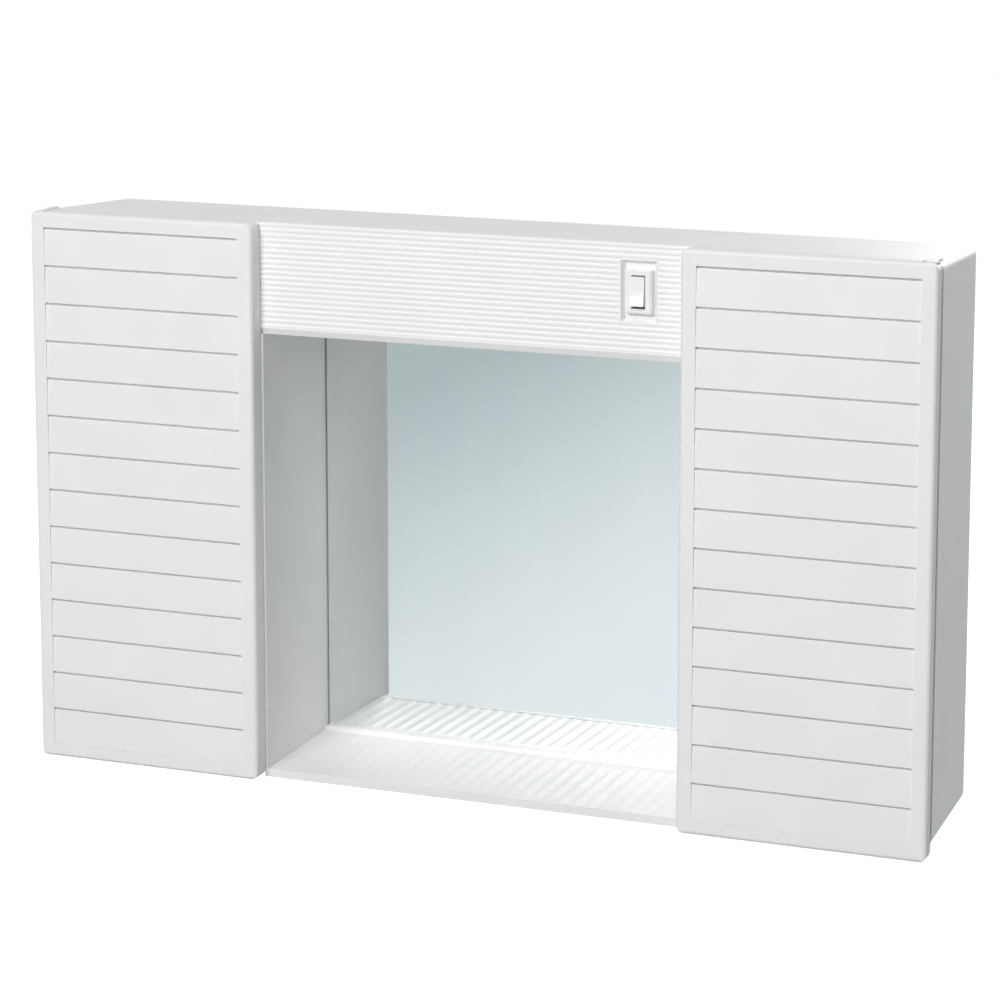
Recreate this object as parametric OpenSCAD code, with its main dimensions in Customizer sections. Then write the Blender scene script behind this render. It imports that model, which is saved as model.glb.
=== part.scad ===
// Lighted mirror cabinet of moulded plastic, hung on a wall.
// Millimetres. X runs to the right, Y runs into the wall and Z runs up.
// The origin lies on the wall, midway between the two wall screws.

/* [Body] */
// Width of the body across its open front
body_w = 599; // [570:1:630]
// Height of the body across its open front
body_h = 356.5; // [335:0.5:380]
// Depth of the body from the wall to its open front
body_d = 99; // [92:0.5:115]
// Wall thickness of the moulding
wall = 2.2; // [2:0.1:2.6]
// How much each side wall leans in from the front to the wall
side_taper = 5.5; // [3:0.5:7]
// How much the top leans down from the front to the wall
top_taper = 4.8; // [3:0.1:5.4]
// Radius of the body's long outer edges
corner_r = 6.5; // [6:0.5:10]

/* [Wall fixing] */
// Depth of the wall screws below the body's top
screw_drop = 30; // [27:0.5:34]
// Distance between the two wall screws
screw_spacing = 440; // [400:1:480]
// Radius of a wall screw's hole
screw_hole_r = 2.6; // [2.2:0.1:3]
// Radius of the pad around a wall screw's hole
screw_pad_r = 9; // [7:0.5:11]
// Height of that pad above the back wall
screw_pad_t = 2; // [1:0.2:3]

/* [Doors] */
// Thickness of a door
door_t = 12.6; // [12.2:0.1:13.4]
// Gap between a door's back and the body's front
door_gap = 0.5; // [0.4:0.1:0.8]
// How far a door covers the edge of its niche wall
door_overlap = 0.8; // [0.6:0.05:1.7]
// How far a door stands outside the body at its hinge side
door_side_reach = 0.5; // [0:0.1:1]
// How far a door stands above the body
door_top_reach = 0.4; // [0:0.1:0.8]
// How far a door hangs below the body, where fingers pull it
door_foot_reach = 5.6; // [4:0.1:8]
// Wall thickness of a door
door_wall = 2.4; // [2:0.1:2.8]
// Radius of the door's corners, seen from the front
door_corner_r = 6; // [4:0.5:8]
// Radius that rounds the door's front edges
door_edge_r = 3; // [2:0.5:4]
// Thickness of the stiffening ribs inside a door
door_rib_t = 1.6; // [1.2:0.1:2.2]
// How far those ribs stop short of the door's back
door_rib_gap = 3; // [2:0.5:4]
// Number of upright ribs inside a door
door_ribs_up = 3; // [1:1:5]
// Number of level ribs inside a door
door_ribs_level = 5; // [1:1:8]

/* [Louvres] */
// Number of slats in a door
slat_count = 14; // [8:1:18]
// Plain border above the slats
slat_top_margin = 10.2; // [9:0.1:14]
// Plain border below the slats
slat_foot_margin = 8.9; // [8:0.1:14]
// Plain border at each end of the slats
slat_end_margin = 10; // [9:0.5:14]
// Depth of a slat's face at its top edge
slat_lean = 1.2; // [1:0.1:2.2]
// Depth of a slat's face at its foot
slat_foot = 0.25; // [0.1:0.05:0.5]
// Height of the slit above each slat
slit_h = 1.4; // [0.8:0.1:1.8]
// Depth of that slit
slit_d = 3.2; // [2.4:0.1:3.6]
// Width and depth of the fine groove under the lowest slat
foot_groove = 0.6; // [0.4:0.1:0.8]
// Plastic left behind the slits
slit_backing = 1.6; // [1.4:0.1:2.2]

/* [Hinges] */
// Radius of a hinge pin
pin_r = 2; // [1.6:0.1:2.2]
// Running clearance around a pin in its door
pin_clearance = 0.06; // [0.04:0.01:0.08]
// Seat clearance around a pin in its lug
pin_seat = 0.02; // [0.01:0.01:0.03]
// How far a pin reaches into its door
pin_reach = 11; // [9:0.5:12]
// Radius of a lug's round end
lug_r = 4; // [3.6:0.1:4.2]
// Half the width of a lug's neck
lug_neck = 3; // [2.8:0.1:3.2]
// Thickness of a lug
lug_t = 2.4; // [2:0.1:2.6]
// Gap between a lug and its door
lug_gap = 0.3; // [0.25:0.05:0.4]
// How far an upper lug stands above its door
lug_reach = 0.5; // [0.3:0.1:1]
// Length of a lug's root on the body
lug_root = 9; // [6:0.5:12]
// Height of the solid corners of a door that take the pins
hinge_block_h = 16; // [15:0.5:20]

/* [Niche] */
// Width of the open niche between its side walls
niche_w = 281.5; // [275:0.5:286]
// Thickness of the niche's side walls
niche_wall = 2; // [1.8:0.1:2.4]
// Height of the lip along the front of the niche floor
lip_h = 5.4; // [4.5:0.1:7]
// Thickness of that lip
lip_t = 2.2; // [1.8:0.1:3]
// How far the lip hangs below the body
lip_drop = 6; // [5.5:0.1:6.4]
// How much the niche floor rises toward the wall
floor_rise = 2.2; // [1:0.1:3]
// Thickness of the niche floor
floor_t = 2.6; // [2.4:0.1:3]
// Distance from one flute of the floor to the next
flute_pitch = 9.3; // [8:0.1:12]
// Depth of a flute below the crests beside it
flute_depth = 0.4; // [0.3:0.05:0.7]
// Plain strip of floor in front of the flutes
flute_start = 5; // [3:0.5:10]
// Height of the ledge that keeps the mirror's foot in place
ledge_h = 2.6; // [2:0.1:4]
// Depth of that ledge
ledge_d = 6; // [4:0.5:8]

/* [Mirror] */
// Thickness of the mirror glass
glass_t = 3; // [2.5:0.1:4]
// Gap between the mirror and the niche walls
glass_gap = 0.8; // [0.3:0.1:1]
// Thickness of the foam pads behind the mirror
foam_t = 0.8; // [0.6:0.1:1.6]
// Width of a foam pad
foam_w = 20; // [12:1:30]
// Height of a foam pad
foam_h = 40; // [20:1:60]

/* [Light box] */
// Height of the light box cover
cover_h = 71.9; // [68:0.1:76]
// Thickness of the cover
cover_t = 2.4; // [2:0.1:2.8]
// Gap between the cover and the body
cover_gap = 0.15; // [0.1:0.05:0.3]
// Height of the sloped band at the cover's foot
cover_slope_h = 4; // [3:0.1:5]
// How far that band slopes in
cover_slope_d = 2; // [1.2:0.1:2.2]
// Depth of the flange at the cover's foot
cover_flange_d = 12; // [8:0.5:16]
// Number of level grooves in the cover
groove_count = 19; // [12:1:20]
// Distance from one groove to the next
groove_pitch = 3.4; // [3:0.05:3.4]
// Radius of a groove
groove_r = 1.6; // [1.4:0.1:1.8]
// Depth of a groove
groove_d = 0.4; // [0.3:0.05:0.7]
// Thickness of the opal diffuser
diffuser_t = 2; // [1.5:0.1:2.5]
// Width of the ledges that carry the diffuser and the shelves
bearer_w = 5; // [4:0.5:7]
// Thickness of those ledges
bearer_t = 2; // [1.6:0.1:2.6]
// Thickness of the aluminium heat shield
shield_t = 0.6; // [0.4:0.1:1]
// Height of the heat shield's upright leg
shield_leg = 16; // [12:1:18]

/* [Lamps] */
// Distance of the lamps' axis from the wall
lamp_y = 44; // [40:0.5:50]
// Height of the lamps' axis below the wall screws
lamp_drop = 8; // [6:0.5:9]
// Largest radius of a lamp's glass
bulb_r = 17.5; // [14:0.5:18]
// Length of a lamp's glass
bulb_l = 74; // [60:1:80]
// Radius of a lamp's screw cap
cap_r = 7; // [6.5:0.1:7.2]
// Length of a lamp's screw cap
cap_l = 26; // [24:1:28]
// Outer radius of a lampholder
holder_r = 13; // [11:0.5:14]
// Length of a lampholder
holder_l = 32; // [30:1:36]
// Thickness of a lampholder's floor
holder_floor = 7; // [6:0.5:9]
// Clearance around the cap in its holder
cap_gap = 0.3; // [0.25:0.05:0.5]
// Thickness of a lamp bracket's steel
bracket_t = 1.5; // [1:0.1:2]
// Height of a lamp bracket
bracket_h = 24; // [20:1:26]
// Width of a lamp bracket's foot on the back wall
bracket_foot = 26; // [20:1:30]

/* [Switch] */
// Distance of the switch from the niche's right side
switch_inset = 29.5; // [25:0.25:45]
// Width of the field that is sunk into the cover
field_w = 22.7; // [21:0.1:25]
// Height of that field
field_h = 38.2; // [35:0.1:41]
// Depth of that field
field_d = 4; // [3:0.1:5]
// Width of the field's sloped border
field_slope = 2; // [1:0.1:2.2]
// Width of the switch bezel
bezel_w = 17; // [16.6:0.1:18.4]
// Height of the switch bezel
bezel_h = 27; // [25:0.1:29]
// How far the bezel stands in front of the cover
bezel_proud = 1; // [0.2:0.1:1.4]
// Width of the rocker
rocker_w = 8.4; // [7.5:0.1:9]
// Height of the rocker
rocker_h = 18; // [16:0.5:19]
// Depth of the rocker from its pivot to its face
rocker_face = 4.8; // [4.4:0.1:5.2]
// Angle of the rocker to each side of its middle
rocker_tilt = 8; // [6:0.5:9]
// Radius of the rocker's pivots
pivot_r = 1.1; // [0.9:0.05:1.2]
// Clearance around the rocker in the bezel
rocker_gap = 0.3; // [0.25:0.05:0.4]
// Depth of the switch housing behind the field
housing_d = 15; // [14:0.5:18]

/* [Wiring] */
// Radius of an insulated wire
wire_r = 1.1; // [0.9:0.1:1.2]
// Width of the terminal block
block_w = 30; // [28:1:34]
// Height of the terminal block
block_h = 16; // [14:1:18]
// Depth of the terminal block
block_d = 12; // [10:0.5:14]
// Radius of the bore for the supply cable
inlet_r = 3.6; // [3:0.1:4]
// Wall thickness of the cable grommet
grommet_wall = 2.2; // [1.8:0.1:2.6]
// Distance of the cable inlet from the cabinet's middle
inlet_x = 40; // [36:1:50]

/* [Shelves] */
// Number of loose shelves in each compartment
shelf_count = 2; // [1:1:2]
// Thickness of a shelf
shelf_t = 2.4; // [2:0.1:3]
// Height of a shelf's front edge
shelf_edge = 9; // [7:0.5:12]
// Gap around a shelf
shelf_gap = 0.5; // [0.4:0.1:0.8]
// How far a shelf stops behind the body's front
shelf_setback = 14; // [12:1:20]

/* [Catches] */
// Width of a magnetic catch
catch_w = 12; // [10:0.5:14]
// Height of a magnetic catch
catch_h = 30; // [24:1:36]
// Depth of a magnetic catch
catch_d = 15; // [12:0.5:18]
// Gap between a catch and its strike plate
catch_gap = 0.3; // [0.25:0.05:0.4]
// Thickness of a strike plate
strike_t = 1; // [0.8:0.1:1.2]
// Height of the ears that screw the catch down
ear_h = 9; // [8:0.5:11]
// Thickness of those ears
ear_t = 2; // [1.6:0.1:2.4]
// Radius of the small screws' shanks
small_screw_r = 1.4; // [1.2:0.1:1.6]
// Radius of the small screws' heads
small_head_r = 2.8; // [2.4:0.1:3]

/* [Hidden] */

$fn = 64;
disc = 0.01;
over = 1;

front_y = -body_d;
body_top = screw_drop;
body_foot = screw_drop - body_h;
inner_back = -wall;
function half_w(y) = body_w / 2 - side_taper * (y - front_y) / body_d;
function top_z(y) = body_top - top_taper * (y - front_y) / body_d;

door_back = front_y - door_gap;
door_front = door_back - door_t;
door_top = body_top + door_top_reach;
door_foot = body_foot - door_foot_reach;
niche_half = niche_w / 2;
niche_outer = niche_half + niche_wall;
door_outer = body_w / 2 + door_side_reach;
door_inner = niche_outer - door_overlap;
door_w = door_outer - door_inner;
hinge_r = door_t / 2;
hinge_x = door_outer - hinge_r;
hinge_y = door_back - hinge_r;
door_hollow_y = door_front + slit_d + slit_backing;
slat_pitch = (door_top - door_foot - slat_top_margin - slat_foot_margin) / slat_count;
hinge_block_w = 2 * hinge_r;
lug_cut_r = lug_r + lug_gap + 0.1;
lug_outline_d = door_t + door_gap + lug_root;
lug_top = door_top + lug_reach;
upper_lug_z = lug_top - lug_t;
upper_seat_z = upper_lug_z - lug_gap;
lower_seat_z = door_foot + lug_t + lug_gap;
pin_inset = 0.4;
pin_end_room = 0.5;

lip_foot = body_foot - lip_drop;
floor_front = lip_foot + lip_h;
function floor_z(y) = floor_front + floor_rise * (y - front_y) / (body_d - wall);
glass_back = inner_back - foam_t;
glass_front = glass_back - glass_t;
ledge_front = glass_front - ledge_d;
ledge_slope = 0.6;
ledge_room = 0.1;
flute_r = (pow(flute_pitch / 2, 2) + pow(flute_depth, 2)) / (2 * flute_depth);
flute_count = floor(niche_w / flute_pitch) - 1;
crest_drop = 0.05;

cover_foot = body_top - cover_h;
cover_top = body_top - cover_gap;
cover_back = front_y + cover_t;
cover_half = niche_outer - cover_gap;
cover_edge_r = 1.5;
groove_margin = 3.4;
groove_border = 1;
diffuser_z = cover_foot + cover_t;
bearer_z = diffuser_z - bearer_t;
diffuser_gap = 0.4;
hook_h = 3;
hook_t = 1.8;
glass_foot = floor_z(glass_back) + 0.05;
glass_top = bearer_z - 0.3;
pad_inset = 30;
pad_drop = 50;
shield_drop = 1;
shield_z = top_z(inner_back) - wall - shield_drop - shield_t;
shield_half = niche_half - 12;
shield_front = cover_back + 6;
shield_rib_x = 60;

lamp_z = -lamp_drop;
holder_base_x = niche_half - 3.2;
cap_end_x = holder_base_x - holder_floor - cap_gap;
glass_start_x = cap_end_x - cap_l;
bracket_arm = 10;
holder_ear_w = 14;
holder_ear_d = 4;
holder_ear_h = 14;
holder_ear_back = -lamp_y + holder_r + holder_ear_d;

switch_x = niche_half - switch_inset;
field_floor = front_y + field_d;
field_wall = 2;
bezel_front = front_y - bezel_proud;
bezel_edge = 0.8;
rocker_proud = 1.6;
rocker_ends = 1.2;
pivot_y = bezel_front + rocker_face - rocker_proud;
rocker_back = 3.4;
rocker_curve_r = rocker_h / 2 / sin(rocker_tilt);
slot_w = rocker_w + 2 * rocker_gap;
slot_h = rocker_h + 2.6;
slot_floor = pivot_y + rocker_back + 2;
housing_w = bezel_w - 4;
housing_h = bezel_h - 5;
housing_gap = 0.1;
housing_back = field_floor + field_wall + housing_d;
blade_l = 7;
blade_t = 0.8;
blade_w = 4.8;
blade_spread = 5.5;

block_z = -34;
block_y = inner_back - block_d;
block_top = block_z + block_h;
block_pole = block_w / 3;
block_screw_r = 1.7;
block_screw_l = 3.5;
block_screw_depth = 5;
block_screws_z = [block_z + 0.27 * block_h, block_z + 0.73 * block_h];
inlet_z = -24;
grommet_r = inlet_r + grommet_wall;

// Runs of the wires inside the light box
wire_play = 0.3;
pole_y = block_y + block_d / 2;
run_y = inner_back - 10;
low_run_z = diffuser_z + diffuser_t + 6.5;
blade_end = housing_back + blade_l;
switch_run_y = blade_end + 5.5;
port_y = holder_ear_back + wire_play;
port_gap = 3;
lower_port_x = holder_base_x - 4;
upper_port_x = lower_port_x - 5;

catch_z = (door_top + door_foot) / 2;
catch_front = front_y - door_gap + catch_gap;
ear_setback = 2;
ear_screw_y = catch_front + catch_d / 2 + ear_setback / 2;
ear_screw_z = catch_h / 2 + ear_h / 2;
strike_room = 0.1;
screw_head_t = 1.6;
screw_play = 0.2;
shelf_bay = (body_h - 2 * wall) / (shelf_count + 1);
function shelf_z(i) = body_foot + wall + shelf_bay * i;

white = [0.93, 0.93, 0.92];
opal = [0.97, 0.97, 0.95];
steel = [0.72, 0.73, 0.75];
brass = [0.80, 0.66, 0.35];
brown = [0.45, 0.26, 0.15];
blue = [0.20, 0.40, 0.70];

// Profile drawn in depth and height, made thick across the width
module across(width) {
  rotate([90, 0, 90]) linear_extrude(width, center = true) children();
}

// Outline drawn in width and height, made thick toward the wall
module inward(depth) {
  rotate([90, 0, 0]) mirror([0, 0, 1]) linear_extrude(depth) children();
}

// Rectangle with rounded corners, from its two opposite corners
module rounded_box_outline(low, high, r) {
  translate([low[0] + r, low[1]]) square([high[0] - low[0] - 2 * r, high[1] - low[1]]);
  translate([low[0], low[1] + r]) square([high[0] - low[0], high[1] - low[1] - 2 * r]);
  for (x = [low[0] + r, high[0] - r], z = [low[1] + r, high[1] - r])
    translate([x, z]) circle(r);
}

// Block between two corners
module block(low, high) {
  translate(low) cube(high - low);
}

// Screw along Y with its head toward the front, its shank reaching to shank_end
module screw_to_wall(x, head_y, z, shank_end) {
  translate([x, head_y - screw_head_t, z]) rotate([-90, 0, 0])
    cylinder(r = small_head_r, h = screw_head_t);
  translate([x, head_y - disc, z]) rotate([-90, 0, 0])
    cylinder(r = small_screw_r, h = shank_end - head_y + disc);
}

// The whole space inside the tapered body, inset from its outer skin
module tapered_block(inset, y_start, y_end, r) {
  hull()
    for (y = [y_start, y_end - disc])
      for (side = [-1, 1])
        for (z = [body_foot + inset + r, top_z(y) - inset - r])
          translate([side * (half_w(y) - inset - r), y, z])
            rotate([-90, 0, 0]) cylinder(r = r, h = disc, $fn = 48);
}

// Side wall of the niche, joined into the top wall
module niche_side(side) {
  translate([side * (niche_half + niche_wall / 2), 0, 0])
    across(niche_wall)
      polygon([[front_y, lip_foot], [front_y, top_z(front_y) - wall / 2],
               [0, top_z(0) - wall / 2], [0, floor_z(0) - floor_t],
               [front_y + lip_t + floor_t, floor_front - floor_t]]);
}

// Niche floor with its hanging lip and the ledge at the mirror's foot
module niche_floor() {
  across(niche_w + 2 * niche_wall)
    polygon([[front_y, lip_foot], [front_y, floor_front], [0, floor_z(0)],
             [0, floor_z(0) - floor_t], [front_y + lip_t, floor_front - floor_t],
             [front_y + lip_t, lip_foot]]);
  across(niche_w + niche_wall)
    polygon([[ledge_front, floor_z(ledge_front) - over],
             [ledge_front + ledge_slope, floor_z(ledge_front) + ledge_h],
             [glass_front - ledge_room, floor_z(ledge_front) + ledge_h],
             [glass_front - ledge_room, floor_z(ledge_front) - over]]);
}

// Room above the niche floor, where the body's bottom wall would stand in the way
module niche_room() {
  across(niche_w)
    polygon([[front_y - over, floor_z(front_y - over)], [inner_back, floor_z(inner_back)],
             [inner_back, body_foot + 2 * wall], [front_y - over, body_foot + 2 * wall]]);
}

// Shallow flutes with sharp crests between them, from behind the lip to the ledge
module floor_flutes() {
  run = ledge_front - front_y - flute_start;
  start_z = floor_z(front_y + flute_start);
  lean = atan((floor_z(ledge_front) - start_z) / run);
  flutes_half = flute_count * flute_pitch / 2;
  intersection() {
    for (i = [0 : flute_count - 1])
      translate([(i - (flute_count - 1) / 2) * flute_pitch, front_y + flute_start,
                 start_z - flute_depth - crest_drop])
        rotate([lean - 90, 0, 0])
          translate([0, -flute_r, 0]) cylinder(r = flute_r, h = run / cos(lean), $fn = 180);
    block([-flutes_half, front_y, floor_front - 2 * flute_depth],
          [flutes_half, ledge_front, floor_z(ledge_front) + over]);
  }
}

// Ledges in one compartment that carry its loose shelves
module shelf_bearers(side) {
  for (i = [1 : shelf_count]) {
    translate([0, 0, shelf_z(i) - bearer_t]) linear_extrude(bearer_t)
      polygon([[side * (niche_outer - niche_wall / 2), front_y + shelf_setback + bearer_w],
               [side * (niche_outer + bearer_w), front_y + shelf_setback + bearer_w],
               [side * (niche_outer + bearer_w), -wall / 2],
               [side * (niche_outer - niche_wall / 2), -wall / 2]]);
    translate([0, 0, shelf_z(i) - bearer_t]) linear_extrude(bearer_t)
      polygon([[side * (half_w(front_y + shelf_setback + bearer_w) - wall - bearer_w),
                front_y + shelf_setback + bearer_w],
               [side * (half_w(front_y + shelf_setback + bearer_w) - wall / 2),
                front_y + shelf_setback + bearer_w],
               [side * (half_w(0) - wall / 2), -wall / 2],
               [side * (half_w(0) - wall - bearer_w), -wall / 2]]);
  }
}

// Ledges in the light box that carry the diffuser and hold the mirror's top
module light_box_bearers() {
  for (side = [-1, 1])
    block([side > 0 ? niche_half - bearer_w : -niche_half - niche_wall / 2,
           cover_back + cover_flange_d, bearer_z],
          [side > 0 ? niche_half + niche_wall / 2 : -niche_half + bearer_w,
           -wall / 2, bearer_z + bearer_t]);
  hook_back = glass_front - 0.2;
  block([-niche_half - niche_wall / 2, hook_back - hook_t, bearer_z],
        [niche_half + niche_wall / 2, -wall / 2, bearer_z + bearer_t]);
  block([-niche_half - niche_wall / 2, hook_back - hook_t, bearer_z - hook_h],
        [niche_half + niche_wall / 2, hook_back, bearer_z + disc]);
}

// Two ribs under the top wall that the heat shield lies against
module shield_ribs() {
  for (side = [-1, 1])
    translate([side * shield_rib_x, 0, 0]) across(bearer_t)
      polygon([[shield_front, shield_z + shield_t], [shield_front, top_z(shield_front) - wall / 2],
               [-wall / 2, top_z(0) - wall / 2], [-wall / 2, shield_z + shield_t]]);
}

// Outline of one door in width and height
module door_outline(side) {
  low_x = side > 0 ? door_inner : -door_outer;
  rounded_box_outline([low_x, door_foot], [low_x + door_w, door_top], door_corner_r);
}

// One hinge lug from the body to the pin, with the root that joins it to the body's edge
module hinge_lug(side, lug_z, root_low, root_high) {
  root_y = front_y + lug_root;
  translate([side * hinge_x, hinge_y, lug_z]) cylinder(r = lug_r, h = lug_t);
  block([side * hinge_x - lug_neck, hinge_y, lug_z],
        [side * hinge_x + lug_neck, root_y, lug_z + lug_t]);
  block([side * hinge_x - lug_neck, front_y, root_low],
        [side * hinge_x + lug_neck, root_y, root_high]);
}

// Lugs at the top and foot of one hinge, with their seats for the pins
module hinge_lugs(side) {
  difference() {
    union() {
      intersection() {
        hinge_lug(side, upper_lug_z, body_top - corner_r, lug_top);
        translate([0, door_front, lug_reach]) inward(lug_outline_d) door_outline(side);
      }
      intersection() {
        hinge_lug(side, door_foot, door_foot, body_foot + wall);
        translate([0, door_front, 0]) inward(lug_outline_d) door_outline(side);
      }
    }
    for (z = [upper_lug_z, door_foot])
      translate([side * hinge_x, hinge_y, z - over])
        cylinder(r = pin_r + pin_seat, h = lug_t + 2 * over);
  }
}

module cabinet_body() {
  color(white) {
    difference() {
      union() {
        difference() {
          tapered_block(0, front_y, 0, corner_r);
          tapered_block(wall, front_y - over, inner_back, corner_r - wall);
          niche_room();
        }
        for (side = [-1, 1]) {
          niche_side(side);
          shelf_bearers(side);
          hinge_lugs(side);
          translate([side * screw_spacing / 2, inner_back - screw_pad_t, 0])
            rotate([-90, 0, 0]) cylinder(r = screw_pad_r, h = screw_pad_t + wall / 2);
        }
        niche_floor();
        light_box_bearers();
        shield_ribs();
      }
      // Front of the light box, where the cover sits
      block([-niche_outer, front_y - over, cover_foot - cover_gap],
            [niche_outer, cover_back + cover_gap, body_top + over]);
      floor_flutes();
      for (side = [-1, 1])
        translate([side * screw_spacing / 2, -wall - screw_pad_t - over, 0])
          rotate([-90, 0, 0]) cylinder(r = screw_hole_r, h = wall + screw_pad_t + 2 * over);
      translate([inlet_x, -wall - over, inlet_z])
        rotate([-90, 0, 0]) cylinder(r = grommet_r, h = wall + 2 * over);
    }
  }
}

// Solid shape of one door before it is hollowed
module door_solid(side) {
  intersection() {
    translate([0, door_front, 0]) inward(door_t) door_outline(side);
    mirror([side > 0 ? 0 : 1, 0, 0])
      translate([0, 0, door_foot - over]) linear_extrude(door_top - door_foot + 2 * over)
        union() {
          translate([door_inner, door_front + door_edge_r])
            square([door_w - hinge_r, door_t - door_edge_r]);
          translate([door_inner, door_front + door_edge_r])
            square([door_w, hinge_r - door_edge_r]);
          translate([door_inner + door_edge_r, door_front])
            square([door_w - 2 * door_edge_r, hinge_r]);
          translate([hinge_x, hinge_y]) circle(hinge_r);
          for (x = [door_inner + door_edge_r, door_outer - door_edge_r])
            translate([x, door_front + door_edge_r]) circle(door_edge_r);
        }
    translate([side * (door_inner + door_outer) / 2, 0, 0]) across(door_w + 2 * over)
      union() {
        translate([door_front + door_edge_r, door_foot])
          square([door_t - door_edge_r, door_top - door_foot]);
        translate([door_front, door_foot + door_edge_r])
          square([door_t, door_top - door_foot - 2 * door_edge_r]);
        for (z = [door_foot + door_edge_r, door_top - door_edge_r])
          translate([door_front + door_edge_r, z]) circle(door_edge_r);
      }
  }
}

// Wedge and slit cut above every slat of one door
module slat_cuts(side) {
  field_l = door_w - 2 * slat_end_margin;
  middle_x = side * (door_inner + door_outer) / 2;
  field_foot = door_foot + slat_foot_margin;
  for (i = [0 : slat_count - 1]) {
    high = door_top - slat_top_margin - i * slat_pitch;
    low = high - slat_pitch;
    translate([middle_x, 0, 0]) across(field_l)
      polygon([[door_front - over, high], [door_front + slit_d, high],
               [door_front + slit_d, high - slit_h], [door_front + slat_lean, high - slit_h],
               [door_front + slat_foot, low], [door_front - over, low]]);
  }
  block([middle_x - field_l / 2, door_front - over, field_foot],
        [middle_x + field_l / 2, door_front + slat_foot + foot_groove, field_foot + foot_groove]);
}

// Hollow of one door, open at the back, with its ribs and solid hinge corners left in
module door_hollow(side) {
  near = door_inner + door_wall;
  far = door_outer - door_wall;
  low = door_foot + door_wall;
  high = door_top - door_wall;
  rib_back = door_back - door_rib_gap;
  mirror([side > 0 ? 0 : 1, 0, 0])
    difference() {
      block([near, door_hollow_y, low], [far, door_back + over, high]);
      for (z = [door_foot, door_top - hinge_block_h])
        block([door_outer - hinge_block_w, door_hollow_y - over, z],
              [door_outer, door_back + 2 * over, z + hinge_block_h]);
      for (i = [1 : door_ribs_up]) {
        x = near + (far - near) * i / (door_ribs_up + 1);
        block([x - door_rib_t / 2, door_hollow_y - over, low - over],
              [x + door_rib_t / 2, rib_back, high + over]);
      }
      for (i = [1 : door_ribs_level]) {
        z = low + (high - low) * i / (door_ribs_level + 1);
        block([near - over, door_hollow_y - over, z - door_rib_t / 2],
              [far + over, rib_back, z + door_rib_t / 2]);
      }
      // Pad that carries the strike plate
      block([door_inner - over, door_hollow_y - over, catch_z - catch_h / 2],
            [niche_outer + catch_w, door_back - strike_t, catch_z + catch_h / 2]);
    }
}

module door(side) {
  color(white)
    difference() {
      door_solid(side);
      slat_cuts(side);
      door_hollow(side);
      // Seat of the strike plate in the door's free edge
      mirror([side > 0 ? 0 : 1, 0, 0])
        block([niche_outer, door_back - strike_t, catch_z - catch_h / 2],
              [niche_outer + catch_w, door_back + over, catch_z + catch_h / 2]);
      // Room for the lugs as the door turns around them
      mirror([side > 0 ? 0 : 1, 0, 0])
        for (z = [[door_foot - over, lower_seat_z], [upper_seat_z, door_top + over]])
          block([hinge_x - lug_cut_r, hinge_y - lug_cut_r, z[0]],
                [door_outer + over, door_back + over, z[1]]);
      // Bores for the pins
      for (z = [lower_seat_z - over, upper_seat_z - pin_reach - pin_end_room])
        translate([side * hinge_x, hinge_y, z])
          cylinder(r = pin_r + pin_clearance, h = pin_reach + pin_end_room + over);
    }
}

module left_door() { door(-1); }

module right_door() { door(1); }

module hinge_pins(side) {
  pin_l = pin_reach + lug_gap + lug_t - pin_inset;
  color(steel)
    for (z = [upper_seat_z - pin_reach, door_foot + pin_inset])
      translate([side * hinge_x, hinge_y, z]) cylinder(r = pin_r, h = pin_l);
}

module left_hinge_pins() { hinge_pins(-1); }

module right_hinge_pins() { hinge_pins(1); }

// Loose shelf in one compartment, resting on its ledges
module shelf(side, i) {
  shelf_front = front_y + shelf_setback;
  shelf_back = inner_back - shelf_gap;
  near = niche_outer + shelf_gap;
  color(white) {
    translate([0, 0, shelf_z(i)]) linear_extrude(shelf_t)
      polygon([[side * near, shelf_front],
               [side * (half_w(shelf_front) - wall - shelf_gap), shelf_front],
               [side * (half_w(shelf_back) - wall - shelf_gap), shelf_back],
               [side * near, shelf_back]]);
    translate([0, 0, shelf_z(i) - shelf_edge + shelf_t]) linear_extrude(shelf_edge)
      polygon([[side * near, shelf_front],
               [side * (half_w(shelf_front) - wall - shelf_gap), shelf_front],
               [side * (half_w(shelf_front + shelf_t) - wall - shelf_gap), shelf_front + shelf_t],
               [side * near, shelf_front + shelf_t]]);
  }
}

module left_upper_shelf() { shelf(-1, shelf_count); }

module left_lower_shelf() { shelf(-1, 1); }

module right_upper_shelf() { shelf(1, shelf_count); }

module right_lower_shelf() { shelf(1, 1); }

module mirror_glass() {
  color([0.78, 0.86, 0.90])
    block([-niche_half + glass_gap, glass_front, glass_foot],
          [niche_half - glass_gap, glass_back, glass_top]);
}

module mirror_pads() {
  pad_x = niche_half - pad_inset;
  color([0.3, 0.3, 0.3])
    for (x = [-pad_x, pad_x], z = [glass_foot + pad_drop, glass_top - pad_drop])
      block([x - foam_w / 2, glass_back, z - foam_h / 2],
            [x + foam_w / 2, inner_back, z + foam_h / 2]);
}

// Side profile of the cover: a plate with a sloped foot that turns back into a flange
module cover_profile() {
  edge_z = cover_top - cover_edge_r;
  difference() {
    union() {
      polygon([[front_y, cover_foot + cover_slope_h], [front_y + cover_slope_d, cover_foot],
               [front_y + cover_flange_d, cover_foot],
               [front_y + cover_flange_d, cover_foot + cover_t],
               [cover_back, cover_foot + cover_t], [cover_back, edge_z], [front_y, edge_z]]);
      translate([front_y + cover_edge_r, edge_z]) circle(cover_edge_r, $fn = 32);
      translate([front_y + cover_edge_r, edge_z]) square([cover_t - cover_edge_r, cover_edge_r]);
    }
    translate([cover_back, edge_z - cover_edge_r])
      square([cover_edge_r, 2 * cover_edge_r + over]);
  }
}

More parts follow.
